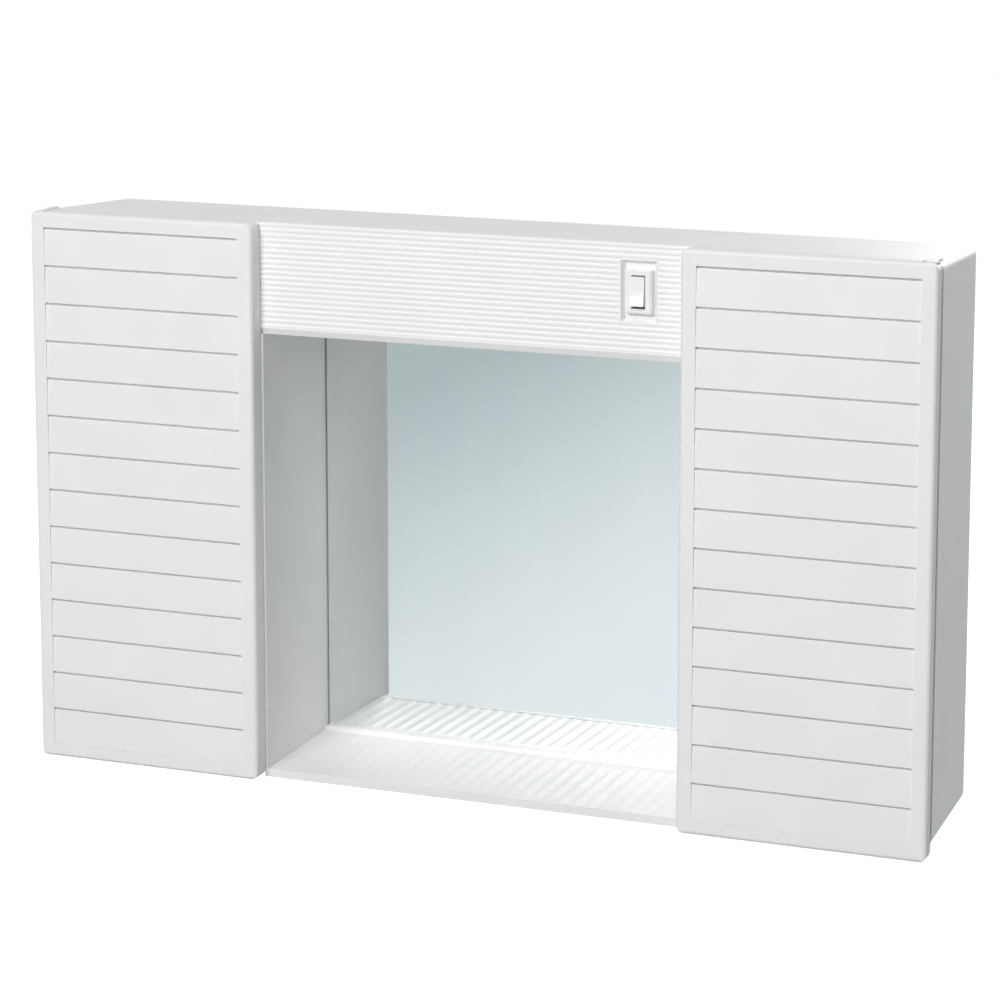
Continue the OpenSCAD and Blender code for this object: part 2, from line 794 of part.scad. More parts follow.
// Cut of the sunken field, with its four sloped borders
module field_cut() {
  translate([switch_x, 0, 0]) {
    intersection() {
      across(field_w + over)
        polygon([[front_y - over, field_h / 2 + over * field_slope / field_d],
                 [field_floor, field_h / 2 - field_slope],
                 [field_floor, field_slope - field_h / 2],
                 [front_y - over, -field_h / 2 - over * field_slope / field_d]]);
      translate([0, 0, -field_h / 2 - over]) linear_extrude(field_h + 2 * over)
        polygon([[-field_w / 2 - over * field_slope / field_d, front_y - over],
                 [-field_w / 2 + field_slope, field_floor],
                 [field_w / 2 - field_slope, field_floor],
                 [field_w / 2 + over * field_slope / field_d, front_y - over]]);
    }
  }
}

// Level grooves of the cover, left out around the switch field
module cover_grooves() {
  for (i = [0 : groove_count - 1])
    difference() {
      translate([0, front_y - groove_r + groove_d, cover_top - groove_margin - i * groove_pitch])
        rotate([0, 90, 0])
          cylinder(r = groove_r, h = 2 * cover_half + 2 * over, center = true, $fn = 32);
      block([switch_x - field_w / 2 - groove_border, front_y - 2 * groove_r,
             -field_h / 2 - groove_border],
            [switch_x + field_w / 2 + groove_border, front_y + groove_r,
             field_h / 2 + groove_border]);
    }
}

module light_cover() {
  color(white)
    difference() {
      union() {
        difference() {
          across(2 * cover_half) cover_profile();
          cover_grooves();
        }
        // Tray of the switch field
        block([switch_x - field_w / 2 - field_wall / 2, front_y + cover_t / 2,
               -field_h / 2 - field_wall / 2],
              [switch_x + field_w / 2 + field_wall / 2, field_floor + field_wall,
               field_h / 2 + field_wall / 2]);
      }
      field_cut();
      block([switch_x - housing_w / 2 - housing_gap, field_floor - over,
             -housing_h / 2 - housing_gap],
            [switch_x + housing_w / 2 + housing_gap, field_floor + field_wall + over,
             housing_h / 2 + housing_gap]);
      // The flange stops short of the niche walls
      for (side = [-1, 1])
        translate([side * (niche_half - cover_gap + niche_wall), 0, 0])
          across(2 * niche_wall)
            translate([cover_back + cover_gap, cover_foot - over])
              square([cover_flange_d, cover_h + 2 * over]);
    }
}

module light_diffuser() {
  color(opal)
    block([-niche_half + glass_gap, cover_back + diffuser_gap, diffuser_z],
          [niche_half - glass_gap, inner_back - diffuser_gap, diffuser_z + diffuser_t]);
}

module heat_shield() {
  color([0.85, 0.86, 0.88])
    difference() {
      across(2 * shield_half)
        polygon([[shield_front, shield_z], [shield_front, shield_z + shield_t],
                 [inner_back, shield_z + shield_t], [inner_back, shield_z - shield_leg],
                 [inner_back - shield_t, shield_z - shield_leg],
                 [inner_back - shield_t, shield_z]]);
      for (side = [-1, 1])
        translate([side * shield_rib_x, inner_back - over, shield_z - shield_leg / 2])
          rotate([-90, 0, 0]) cylinder(r = small_screw_r + screw_play, h = 2 * over);
    }
}

module heat_shield_screws() {
  color(steel)
    for (side = [-1, 1])
      screw_to_wall(side * shield_rib_x, inner_back - shield_t,
                    shield_z - shield_leg / 2, inner_back);
}

// Steel angle that carries one lampholder from the back wall
module lamp_bracket(side) {
  arm_x = holder_base_x;
  color(steel)
    mirror([side > 0 ? 0 : 1, 0, 0])
      difference() {
        union() {
          block([arm_x, -lamp_y - bracket_arm, lamp_z - bracket_h / 2],
                [arm_x + bracket_t, inner_back, lamp_z + bracket_h / 2]);
          block([arm_x - bracket_foot, inner_back - bracket_t, lamp_z - bracket_h / 2],
                [arm_x + bracket_t, inner_back, lamp_z + bracket_h / 2]);
        }
        for (z = [-1, 1])
          translate([arm_x - bracket_foot / 2, inner_back - bracket_t - over,
                     lamp_z + z * bracket_h / 4])
            rotate([-90, 0, 0]) cylinder(r = small_screw_r + screw_play, h = bracket_t + 2 * over);
      }
}

module left_lamp_bracket() { lamp_bracket(-1); }

module right_lamp_bracket() { lamp_bracket(1); }

module lamp_bracket_screws() {
  color(steel)
    for (side = [-1, 1], z = [-1, 1])
      screw_to_wall(side * (holder_base_x - bracket_foot / 2), inner_back - bracket_t,
                    lamp_z + z * bracket_h / 4, inner_back);
}

// Turns a shape built along Z so that it points from one side toward the middle
module from_side(side, x) {
  translate([side * x, -lamp_y, lamp_z]) rotate([0, -side * 90, 0]) children();
}

module lampholder(side) {
  color([0.95, 0.95, 0.93]) {
    difference() {
      from_side(side, holder_base_x) cylinder(r = holder_r, h = holder_l);
      from_side(side, holder_base_x - holder_floor) cylinder(r = cap_r + cap_gap, h = holder_l);
    }
    mirror([side > 0 ? 0 : 1, 0, 0])
      difference() {
        block([holder_base_x - holder_ear_w, -lamp_y + cap_r + 2, lamp_z - holder_ear_h / 2],
              [holder_base_x, holder_ear_back, lamp_z + holder_ear_h / 2]);
        from_side(1, holder_base_x + over) cylinder(r = holder_r - over, h = holder_l);
      }
  }
}

module left_lampholder() { lampholder(-1); }

module right_lampholder() { lampholder(1); }

module bulb_cap(side) {
  tip_r = 4;
  tip_l = 2.5;
  color(brass) {
    from_side(side, cap_end_x - tip_l) cylinder(r = cap_r, h = cap_l - tip_l);
    from_side(side, cap_end_x) cylinder(r = tip_r, h = tip_l + disc);
  }
}

module left_bulb_cap() { bulb_cap(-1); }

module right_bulb_cap() { bulb_cap(1); }

// Candle outline: a neck that swells to the widest ring and closes in a round tip
function bulb_points() =
  let (steps = 12, neck_r = cap_r - 0.4, belly = bulb_l * 0.42, tip = bulb_l - belly)
  concat([[0, 0]],
         [for (i = [0 : steps]) let (t = i / steps)
           [neck_r + (bulb_r - neck_r) * (1 - cos(180 * t)) / 2, belly * t]],
         [for (i = [1 : steps - 1]) let (a = 90 * i / steps)
           [bulb_r * cos(a), belly + tip * sin(a)]],
         [[0, bulb_l]]);

module bulb_glass(side) {
  color(opal) from_side(side, glass_start_x) rotate_extrude() polygon(bulb_points());
}

module left_bulb_glass() { bulb_glass(-1); }

module right_bulb_glass() { bulb_glass(1); }

module switch_housing() {
  color(white)
    difference() {
      union() {
        block([switch_x - bezel_w / 2, bezel_front + bezel_edge, -bezel_h / 2],
              [switch_x + bezel_w / 2, field_floor, bezel_h / 2]);
        block([switch_x - bezel_w / 2 + bezel_edge, bezel_front, -bezel_h / 2 + bezel_edge],
              [switch_x + bezel_w / 2 - bezel_edge, field_floor, bezel_h / 2 - bezel_edge]);
        block([switch_x - housing_w / 2, field_floor - disc, -housing_h / 2],
              [switch_x + housing_w / 2, housing_back, housing_h / 2]);
      }
      block([switch_x - slot_w / 2, bezel_front - over, -slot_h / 2],
            [switch_x + slot_w / 2, slot_floor, slot_h / 2]);
      translate([switch_x, pivot_y, 0]) rotate([0, 90, 0])
        cylinder(r = pivot_r + 0.06, h = slot_w + 2.4, center = true);
    }
}

module switch_rocker() {
  color([0.96, 0.96, 0.95])
    translate([switch_x, pivot_y, 0]) rotate([-rocker_tilt, 0, 0]) {
      difference() {
        block([-rocker_w / 2, -rocker_face - rocker_ends, -rocker_h / 2],
              [rocker_w / 2, rocker_back, rocker_h / 2]);
        translate([0, -rocker_face - rocker_curve_r, 0]) rotate([0, 90, 0])
          cylinder(r = rocker_curve_r, h = rocker_w + 2 * over, center = true, $fn = 360);
        for (end = [-1, 1])
          // Bevelled corner, so that the back end clears the housing as it tilts
          translate([0, rocker_back, end * rocker_h / 2]) rotate([end * 35, 0, 0])
            block([-rocker_w, -2.2, -2.4], [rocker_w, 4, 2.4]);
      }
      rotate([0, 90, 0]) cylinder(r = pivot_r, h = slot_w + 2, center = true);
    }
}

module switch_terminals() {
  color(brass)
    for (z = [-blade_spread, blade_spread])
      block([switch_x - blade_w / 2, housing_back, z - blade_t / 2],
            [switch_x + blade_w / 2, housing_back + blade_l, z + blade_t / 2]);
}

module terminal_block() {
  color([0.9, 0.9, 0.88])
    difference() {
      block([-block_w / 2, block_y, block_z], [block_w / 2, inner_back, block_top]);
      for (pole = [-1 : 1], z = block_screws_z)
        translate([pole * block_pole, block_y - over, z])
          rotate([-90, 0, 0])
            cylinder(r = block_screw_r + screw_play, h = block_screw_depth + over);
    }
}

module terminal_screws() {
  color(brass)
    for (pole = [-1 : 1], z = block_screws_z)
      translate([pole * block_pole, block_y + block_screw_depth - block_screw_l, z])
        rotate([-90, 0, 0]) cylinder(r = block_screw_r, h = block_screw_l);
}

module cable_grommet() {
  rim = 2;
  rim_t = 1.5;
  color([0.2, 0.2, 0.2])
    translate([inlet_x, -wall - rim_t, inlet_z]) rotate([-90, 0, 0])
      difference() {
        union() {
          cylinder(r = grommet_r - 0.05, h = rim_t + wall);
          cylinder(r = grommet_r + rim, h = rim_t);
        }
        translate([0, 0, -over]) cylinder(r = inlet_r, h = rim_t + wall + 2 * over);
      }
}

// Unit vector
function unit(v) = v / norm(v);

// Point on the smooth curve between the second and third of four points
function curve_point(a, b, c, d, t) =
  0.5 * (2 * b + (c - a) * t + (2 * a - 5 * b + 4 * c - d) * t * t + (3 * b - a - 3 * c + d) * t * t * t);

// Smooth route through the points, which starts and ends straight
function smooth_route(points, steps) =
  let (last = len(points) - 1)
  concat([for (i = [0 : last - 1], s = [0 : steps - 1])
           curve_point(points[max(i - 1, 0)], points[i], points[i + 1],
                       points[min(i + 2, last)], s / steps)],
         [points[last]]);

function route_directions(route) =
  let (last = len(route) - 1)
  [for (i = [0 : last]) unit(route[min(i + 1, last)] - route[max(i - 1, 0)])];

// Side vectors that turn as little as they can along the route
function side_vectors(directions, i, side) =
  i == len(directions) ? [] :
  let (next = unit(side - (side * directions[i]) * directions[i]))
  concat([next], side_vectors(directions, i + 1, next));

// Round wire along a route
module wire(points, sides = 8, steps = 3) {
  route = smooth_route(points, steps);
  directions = route_directions(route);
  across_route = side_vectors(directions, 0, unit(cross(directions[0], [0.31, 0.17, 0.93])));
  rings = [for (i = [0 : len(route) - 1], k = [0 : sides - 1])
            route[i] + wire_r * (cos(360 * k / sides) * across_route[i]
                                 + sin(360 * k / sides) * cross(directions[i], across_route[i]))];
  last = (len(route) - 1) * sides;
  faces = concat(
    [[for (k = [0 : sides - 1]) k]],
    [[for (k = [sides - 1 : -1 : 0]) last + k]],
    [for (i = [0 : len(route) - 2], k = [0 : sides - 1])
      [i * sides + k, (i + 1) * sides + k, i * sides + (k + 1) % sides]],
    [for (i = [0 : len(route) - 2], k = [0 : sides - 1])
      [i * sides + (k + 1) % sides, (i + 1) * sides + k, (i + 1) * sides + (k + 1) % sides]]);
  polyhedron(points = rings, faces = faces);
}

module live_wire() {
  color(brown)
    wire([[block_pole, pole_y, block_top + wire_play], [block_pole, pole_y, block_top + 5],
          [block_pole + 8, run_y - 2, block_top + 8], [switch_x / 2, run_y, lamp_z - 4],
          [switch_x - 23, run_y - 4, low_run_z + 7], [switch_x - 14, -lamp_y + 4, low_run_z],
          [switch_x - 7, switch_run_y + 4, low_run_z + 1], [switch_x, switch_run_y, -blade_spread - 8],
          [switch_x, blade_end + 4, -blade_spread],
          [switch_x, blade_end + wire_play, -blade_spread]]);
}

module right_switched_wire() {
  color(brown)
    wire([[switch_x, blade_end + wire_play, blade_spread],
          [switch_x, blade_end + 4, blade_spread],
          [switch_x - 8, switch_run_y + 2, blade_spread + 3],
          [switch_x - 10, -lamp_y - 6, lamp_z + 19], [switch_x - 4, -lamp_y + 14, lamp_z + 19],
          [upper_port_x, run_y - 6, lamp_z + 12], [upper_port_x, run_y - 7, lamp_z + 6],
          [upper_port_x, port_y + 5, lamp_z + port_gap], [upper_port_x, port_y, lamp_z + port_gap]]);
}

module left_switched_wire() {
  color(brown)
    wire([[-block_pole, pole_y, block_top + wire_play], [-block_pole, pole_y, block_top + 5],
          [-block_pole - 8, run_y - 1, block_top + 9], [-switch_x / 2, run_y, lamp_z - 1],
          [10 - switch_x, run_y - 2, lamp_z + 4], [-upper_port_x, run_y - 4, lamp_z + 10],
          [-upper_port_x, port_y + 5, lamp_z + port_gap], [-upper_port_x, port_y, lamp_z + port_gap]]);
}

module left_neutral_wire() {
  color(blue)
    wire([[-block_pole, pole_y, block_z - wire_play], [-block_pole, pole_y, block_z - 1.8],
          [-block_pole - 8, run_y + 2, block_z - 2.2], [-switch_x / 2, run_y, block_z],
          [10 - switch_x, run_y - 2, low_run_z + 5], [-lower_port_x, run_y - 4, lamp_z - 10],
          [-lower_port_x, port_y + 5, lamp_z - port_gap], [-lower_port_x, port_y, lamp_z - port_gap]]);
}

module right_neutral_wire() {
  color(blue)
    wire([[0, pole_y, block_top + wire_play], [0, pole_y, block_top + 5],
          [block_pole - 4, run_y - 6, block_top + 8], [switch_x / 2 - 5, run_y - 8, lamp_z - 8],
          [switch_x - 13, run_y, low_run_z + 1], [lower_port_x, run_y - 2, lamp_z - 12],
          [lower_port_x, port_y + 5, lamp_z - port_gap], [lower_port_x, port_y, lamp_z - port_gap]]);
}

// Magnetic catch on the compartment side of a niche wall
module magnet_catch(side) {
  color([0.9, 0.9, 0.9])
    mirror([side > 0 ? 0 : 1, 0, 0])
      difference() {
        union() {
          block([niche_outer, catch_front, catch_z - catch_h / 2],
                [niche_outer + catch_w, catch_front + catch_d, catch_z + catch_h / 2]);
          block([niche_outer, catch_front + ear_setback, catch_z - catch_h / 2 - ear_h],
                [niche_outer + ear_t, catch_front + catch_d, catch_z + catch_h / 2 + ear_h]);
        }
        for (end = [-1, 1])
          translate([niche_outer - over, ear_screw_y, catch_z + end * ear_screw_z])
            rotate([0, 90, 0]) cylinder(r = small_screw_r + screw_play, h = ear_t + 2 * over);
      }
}

module left_catch() { magnet_catch(-1); }

module right_catch() { magnet_catch(1); }

// Steel plate in a door's free edge, which the catch pulls
module strike_plate(side) {
  color(steel)
    mirror([side > 0 ? 0 : 1, 0, 0])
      block([niche_outer + strike_room, door_back - strike_t,
             catch_z - catch_h / 2 + strike_room],
            [niche_outer + catch_w - strike_room, door_back,
             catch_z + catch_h / 2 - strike_room]);
}

module left_strike_plate() { strike_plate(-1); }

module right_strike_plate() { strike_plate(1); }

module catch_screws() {
  color(steel)
    for (side = [-1, 1], end = [-1, 1])
      mirror([side > 0 ? 0 : 1, 0, 0])
        translate([niche_outer, ear_screw_y, catch_z + end * ear_screw_z])
          rotate([0, 90, 0]) {
            cylinder(r = small_screw_r, h = ear_t + disc);
            translate([0, 0, ear_t]) cylinder(r = small_head_r, h = screw_head_t);
          }
}

cabinet_body();
left_door();
right_door();
left_hinge_pins();
right_hinge_pins();
left_upper_shelf();
left_lower_shelf();
right_upper_shelf();
right_lower_shelf();
mirror_glass();
mirror_pads();
light_cover();
light_diffuser();
heat_shield();
heat_shield_screws();
left_lamp_bracket();
right_lamp_bracket();
lamp_bracket_screws();
left_lampholder();
right_lampholder();
left_bulb_cap();
right_bulb_cap();
left_bulb_glass();
right_bulb_glass();
switch_housing();
switch_rocker();
switch_terminals();
terminal_block();
terminal_screws();
cable_grommet();
live_wire();
left_switched_wire();
right_switched_wire();
left_neutral_wire();
right_neutral_wire();
left_catch();
right_catch();
left_strike_plate();
right_strike_plate();
catch_screws();
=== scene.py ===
# %% [markdown]
# # A lighted mirror cabinet
#
# This lesson dresses a bathroom cabinet for its picture: a mirrored niche under a light box, with a
# louvred door on each side. The shapes could be modelled here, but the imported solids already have
# them, so they are loaded and stay as they are. Each piece gets its finish here. The floor, the lamps
# and the camera follow. All is in metres: X runs to the right, Y runs into the wall, Z runs up, and
# the origin lies on the wall, midway between the two wall screws.

# %% Load the cabinet
import math

import bpy
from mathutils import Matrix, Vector


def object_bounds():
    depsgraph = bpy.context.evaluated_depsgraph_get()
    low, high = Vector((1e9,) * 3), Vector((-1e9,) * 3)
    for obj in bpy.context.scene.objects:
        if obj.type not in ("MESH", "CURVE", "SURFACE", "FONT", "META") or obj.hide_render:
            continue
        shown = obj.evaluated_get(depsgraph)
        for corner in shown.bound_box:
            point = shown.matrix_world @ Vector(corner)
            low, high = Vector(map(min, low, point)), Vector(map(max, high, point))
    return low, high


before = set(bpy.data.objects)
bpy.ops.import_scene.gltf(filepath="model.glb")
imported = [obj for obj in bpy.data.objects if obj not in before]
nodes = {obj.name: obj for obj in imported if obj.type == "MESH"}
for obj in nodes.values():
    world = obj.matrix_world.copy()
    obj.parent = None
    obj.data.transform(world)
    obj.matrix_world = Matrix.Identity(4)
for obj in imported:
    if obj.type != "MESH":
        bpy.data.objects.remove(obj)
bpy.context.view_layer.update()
low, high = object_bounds()
print("pieces:", len(nodes))
print("size in millimetres:", [round(1000 * (b - a), 1) for a, b in zip(low, high)])

# %% [markdown]
# ## Tones
#
# The cabinet's whites differ by very little, and on a screen such a white reads as a number from 0 to
# 255. The renderer counts in linear light instead. Colours could be typed in as linear light, but
# then it is hard to picture what a small step does. So each tone is written as it looks on a screen
# and is turned into linear light by a small function.

# %% Tones
def screen_tone(red, green, blue):
    """Turns a tone as seen on a screen into linear light, with full opacity."""
    linear = []
    for value in (red, green, blue):
        share = value / 255
        linear.append(share / 12.92 if share <= 0.04045 else ((share + 0.055) / 1.055) ** 2.4)
    return (*linear, 1.0)


print("a middle grey in linear light:", round(screen_tone(128, 128, 128)[0], 3))

# %% [markdown]
# ## Patterns
#
# A real surface is never quite even. Its unevenness could come from a picture laid over the piece,
# but a picture repeats and has to be fitted to every face. A noise pattern that the renderer works
# out in space runs on over edges and corners. Its spots are given a width in metres, so they keep
# their true size on every piece.

# %% Patterns
# Nearly all of a noise pattern lies between these two values
pattern_low = 0.3
pattern_high = 0.7


def noise(tree, size, detail=2.0, stretch=(1, 1, 1)):
    """Adds a noise pattern whose spots are about `size` metres wide, pulled out along an axis."""
    place = tree.nodes.new("ShaderNodeTexCoord")
    mapping = tree.nodes.new("ShaderNodeMapping")
    mapping.inputs["Scale"].default_value = stretch
    pattern = tree.nodes.new("ShaderNodeTexNoise")
    pattern.inputs["Scale"].default_value = 1 / size
    pattern.inputs["Detail"].default_value = detail
    tree.links.new(place.outputs["Object"], mapping.inputs["Vector"])
    tree.links.new(mapping.outputs["Vector"], pattern.inputs["Vector"])
    return pattern.outputs["Fac"]


def spread(tree, pattern, least, most):
    """Maps a pattern to a range of numbers."""
    ranger = tree.nodes.new("ShaderNodeMapRange")
    ranger.inputs["From Min"].default_value = pattern_low
    ranger.inputs["From Max"].default_value = pattern_high
    ranger.inputs["To Min"].default_value = least
    ranger.inputs["To Max"].default_value = most
    tree.links.new(pattern, ranger.inputs["Value"])
    return ranger.outputs["Result"]


print("patterns are read from", pattern_low, "to", pattern_high)

# %% [markdown]
# ## What a finish is made of
#
# Three things make a finish: its tone, its gloss and its grain. Each could be one fixed value, but
# then the piece looks like a drawing of itself. So patterns drive them. The tone wavers between two
# close tones, the roughness varies around its mean, and the grain raises the surface, by thousandths
# of a millimetre on metal and by tenths on foam. Glass and milky sheet are too smooth for a grain.

# %% What a finish is made of
def new_finish(name):
    """Makes a finish and returns it with its node tree and its Principled shader."""
    finish = bpy.data.materials.new(name)
    finish.use_nodes = True
    tree = finish.node_tree
    return finish, tree, tree.nodes["Principled BSDF"]


def waver(tree, shader, pattern, tones):
    """Lets the colour waver between two screen tones, as the pattern says."""
    mixer = tree.nodes.new("ShaderNodeMix")
    mixer.data_type = "RGBA"
    mixer.inputs["A"].default_value = screen_tone(*tones[0])
    mixer.inputs["B"].default_value = screen_tone(*tones[1])
    tree.links.new(spread(tree, pattern, 0.0, 1.0), mixer.inputs["Factor"])
    tree.links.new(mixer.outputs["Result"], shader.inputs["Base Color"])


def vary_gloss(tree, shader, pattern, smoothest, roughest):
    """Lets the roughness vary between two values, as the pattern says."""
    tree.links.new(spread(tree, pattern, smoothest, roughest), shader.inputs["Roughness"])


def grain(tree, shader, pattern, depth):
    """Raises the surface by the pattern, at most `depth` metres."""
    bump = tree.nodes.new("ShaderNodeBump")
    bump.inputs["Distance"].default_value = depth
    tree.links.new(pattern, bump.inputs["Height"])
    tree.links.new(bump.outputs["Normal"], shader.inputs["Normal"])


def coat(piece_names, finish):
    """Gives pieces a finish."""
    for piece_name in piece_names:
        piece_mesh = nodes[piece_name].data
        piece_mesh.materials.clear()
        piece_mesh.materials.append(finish)


print("pieces that wait for a finish:", len(nodes))

# %% [markdown]
# ## Moulded plastic
#
# The body, the doors, the cover and the shelves are injection moulded polystyrene. The steel mould is
# polished, so the plastic comes out smooth with a soft gloss, and its tone drifts a little where it
# flowed and cooled. It could be one even white with a clear coat on top, but the real plastic has no
# coat. So it is one layer with two patterns: a wide drift of the tone, and a fine grain that breaks
# up the gloss.

# %% Moulded plastic
plastic_ior = 1.5
plastic_shine = 0.5
plastic_grain_depth = 0.00001


def moulded_plastic(name, tones, roughness, drift, grain_size):
    finish, tree, shader = new_finish(name)
    wide = noise(tree, drift, detail=1.0)
    fine = noise(tree, grain_size, detail=3.0)
    waver(tree, shader, wide, tones)
    vary_gloss(tree, shader, fine, roughness - 0.04, roughness + 0.05)
    grain(tree, shader, fine, plastic_grain_depth)
    shader.inputs["IOR"].default_value = plastic_ior
    shader.inputs["Specular IOR Level"].default_value = plastic_shine
    return finish


white_tones = ((243, 243, 242), (240, 240, 240))
coat(["cabinet_body", "left_door", "right_door", "left_upper_shelf", "left_lower_shelf",
      "right_upper_shelf", "right_lower_shelf"],
     moulded_plastic("white_plastic", white_tones, roughness=0.42, drift=0.04, grain_size=0.0009))

cover_tones = ((247, 247, 247), (245, 245, 245))
coat(["light_cover"],
     moulded_plastic("cover_plastic", cover_tones, roughness=0.38, drift=0.05, grain_size=0.0009))
print("mean roughness of the body and the cover: 0.42 and 0.38")

# %% [markdown]
# ## Switch and fittings
#
# The rocker and its frame are a harder, glossier plastic than the cabinet. The lampholders, the
# terminal block and the catches are pressed from a dull, slightly yellow plastic that stands heat.
# Both could share the cabinet's white, but side by side they would look like one lump. The same
# function makes them with other tones, another gloss and a finer grain.

# %% Switch and fittings
switch_tones = ((247, 247, 247), (244, 244, 244))
coat(["switch_housing", "switch_rocker"],
     moulded_plastic("switch_plastic", switch_tones, roughness=0.24, drift=0.01, grain_size=0.0005))

fitting_tones = ((236, 235, 228), (229, 228, 220))
coat(["left_lampholder", "right_lampholder", "terminal_block", "left_catch", "right_catch"],
     moulded_plastic("fittings_plastic", fitting_tones, roughness=0.55, drift=0.006, grain_size=0.0004))
print("switch pieces: 2, fittings: 5")

# %% [markdown]
# ## Mirror
#
# The mirror is float glass with silver behind it. Silver and clear glass give back about nine tenths
# of the light, and the glass takes a little of the red, so what shows in it is very slightly cool.
# It could be built as clear glass in front of a silver sheet, which takes many more light paths and
# looks nearly the same. So it is one nearly smooth metal of that colour. The polish varies by a hair, as on
# glass that has been wiped.

# %% Mirror
mirror_tones = ((242, 245, 244), (240, 243, 243))
smoothest_polish = 0.012
dullest_polish = 0.03


def silvered_glass():
    finish, tree, shader = new_finish("mirror")
    wiped = noise(tree, 0.03, detail=3.0, stretch=(1, 1, 0.4))
    waver(tree, shader, wiped, mirror_tones)
    vary_gloss(tree, shader, wiped, smoothest_polish, dullest_polish)
    shader.inputs["Metallic"].default_value = 1.0
    return finish


coat(["mirror_glass"], silvered_glass())
print("roughness of the mirror:", smoothest_polish, "to", dullest_polish)

# %% [markdown]
# ## Diffuser and lamps
#
# The diffuser under the lamps is milky sheet, and the lamps are opal glass. Light enters both and
# spreads inside them. They could let light through, but that renders slowly, and with the lamps off
# it would show little more. So they stay opaque and get a little light from under the surface.

# %% Diffuser and lamps
light_inside = 0.25


def milky(name, tones, roughness, depth):
    finish, tree, shader = new_finish(name)
    cloud = noise(tree, 0.01)
    waver(tree, shader, cloud, tones)
    vary_gloss(tree, shader, cloud, roughness - 0.03, roughness + 0.03)
    shader.inputs["Subsurface Weight"].default_value = light_inside
    shader.inputs["Subsurface Scale"].default_value = depth
    return finish


sheet_tones = ((240, 240, 236), (234, 234, 230))
coat(["light_diffuser"], milky("opal_sheet", sheet_tones, roughness=0.45, depth=0.002))

opal_tones = ((240, 239, 234), (235, 233, 227))
coat(["left_bulb_glass", "right_bulb_glass"],
     milky("opal_glass", opal_tones, roughness=0.12, depth=0.001))
print("share of light from under the surface:", light_inside)

# %% [markdown]
# ## Metals
#
# The heat shield is bright rolled aluminium, and rolling leaves fine lines along its length. The
# screws, brackets, hinge pins and strike plates are zinc plated steel, which has soft patches where
# the zinc's crystals catch the light. The lamp caps, terminals and clamping screws are plain brass,
# slightly browned. Each could have a texture of its own. One function is enough, because the three
# differ only in tone, in roughness and in how wide and how long their patches are.

# %% Metals
metal_grain_depth = 0.000004


def metal(name, tones, roughness, patch, stretch=(1, 1, 1)):
    finish, tree, shader = new_finish(name)
    patches = noise(tree, patch, detail=4.0, stretch=stretch)
    waver(tree, shader, patches, tones)
    vary_gloss(tree, shader, patches, roughness - 0.08, roughness + 0.08)
    grain(tree, shader, patches, metal_grain_depth)
    shader.inputs["Metallic"].default_value = 1.0
    return finish


aluminium_tones = ((222, 224, 226), (208, 210, 213))
lengthwise = (0.02, 1, 1)
coat(["heat_shield"], metal("rolled_aluminium", aluminium_tones, 0.3, 0.0006, lengthwise))

zinc_tones = ((190, 193, 198), (170, 173, 178))
coat(["left_hinge_pins", "right_hinge_pins", "heat_shield_screws", "left_lamp_bracket",
      "right_lamp_bracket", "lamp_bracket_screws", "left_strike_plate", "right_strike_plate",
      "catch_screws"],
     metal("zinc_plated_steel", zinc_tones, 0.36, 0.002))

brass_tones = ((214, 184, 112), (188, 156, 88))
coat(["left_bulb_cap", "right_bulb_cap", "switch_terminals", "terminal_screws"],
     metal("plain_brass", brass_tones, 0.3, 0.0015))
print("depth of the metals' grain in millimetres:", 1000 * metal_grain_depth)

# %% [markdown]
# ## Rubber, foam and wire
#
# The grommet is black rubber, dull and finely pitted. The pads behind the mirror are dark foam tape
# with open cells. The wires have smooth insulation, brown for the live side and blue for neutral,
# slightly uneven from the extruder. The foam's cells could be cut into its mesh, but they are a
# millimetre wide and hidden behind the glass. A pattern that raises the surface does for all three.

# %% Rubber, foam and wire
def soft(name, tones, roughness, cell, depth):
    finish, tree, shader = new_finish(name)
    cells = noise(tree, cell, detail=4.0)
    waver(tree, shader, cells, tones)
    vary_gloss(tree, shader, cells, roughness - 0.05, roughness + 0.05)
    grain(tree, shader, cells, depth)
    return finish


rubber_tones = ((44, 44, 45), (34, 34, 35))
coat(["cable_grommet"], soft("black_rubber", rubber_tones, 0.7, 0.0005, 0.00003))

foam_tones = ((76, 76, 78), (54, 54, 56))
coat(["mirror_pads"], soft("foam_tape", foam_tones, 0.9, 0.0012, 0.0003))

brown_tones = ((104, 62, 38), (92, 54, 32))
coat(["live_wire", "left_switched_wire", "right_switched_wire"],
     soft("brown_insulation", brown_tones, 0.45, 0.002, 0.00001))

blue_tones = ((44, 92, 170), (38, 82, 156))
coat(["left_neutral_wire", "right_neutral_wire"],
     soft("blue_insulation", blue_tones, 0.45, 0.002, 0.00001))
bare = [name for name, piece in nodes.items() if not piece.data.materials]
print("pieces without a finish:", bare)

# %% [markdown]
# ## Edges
#
# No moulded or cut edge is perfectly sharp, and a real one catches the light in a thin line. The
# rounding could be painted on with a shader, but a narrow bevel is true geometry and also shows in
# the outline. Points that lie on the same spot are joined first, so that the bevel runs around each
# edge without breaks. Faces that meet at a shallow angle belong to one round surface and are left
# alone. At the end each flat face is shaded flat, so that the bevels don't make it look round.

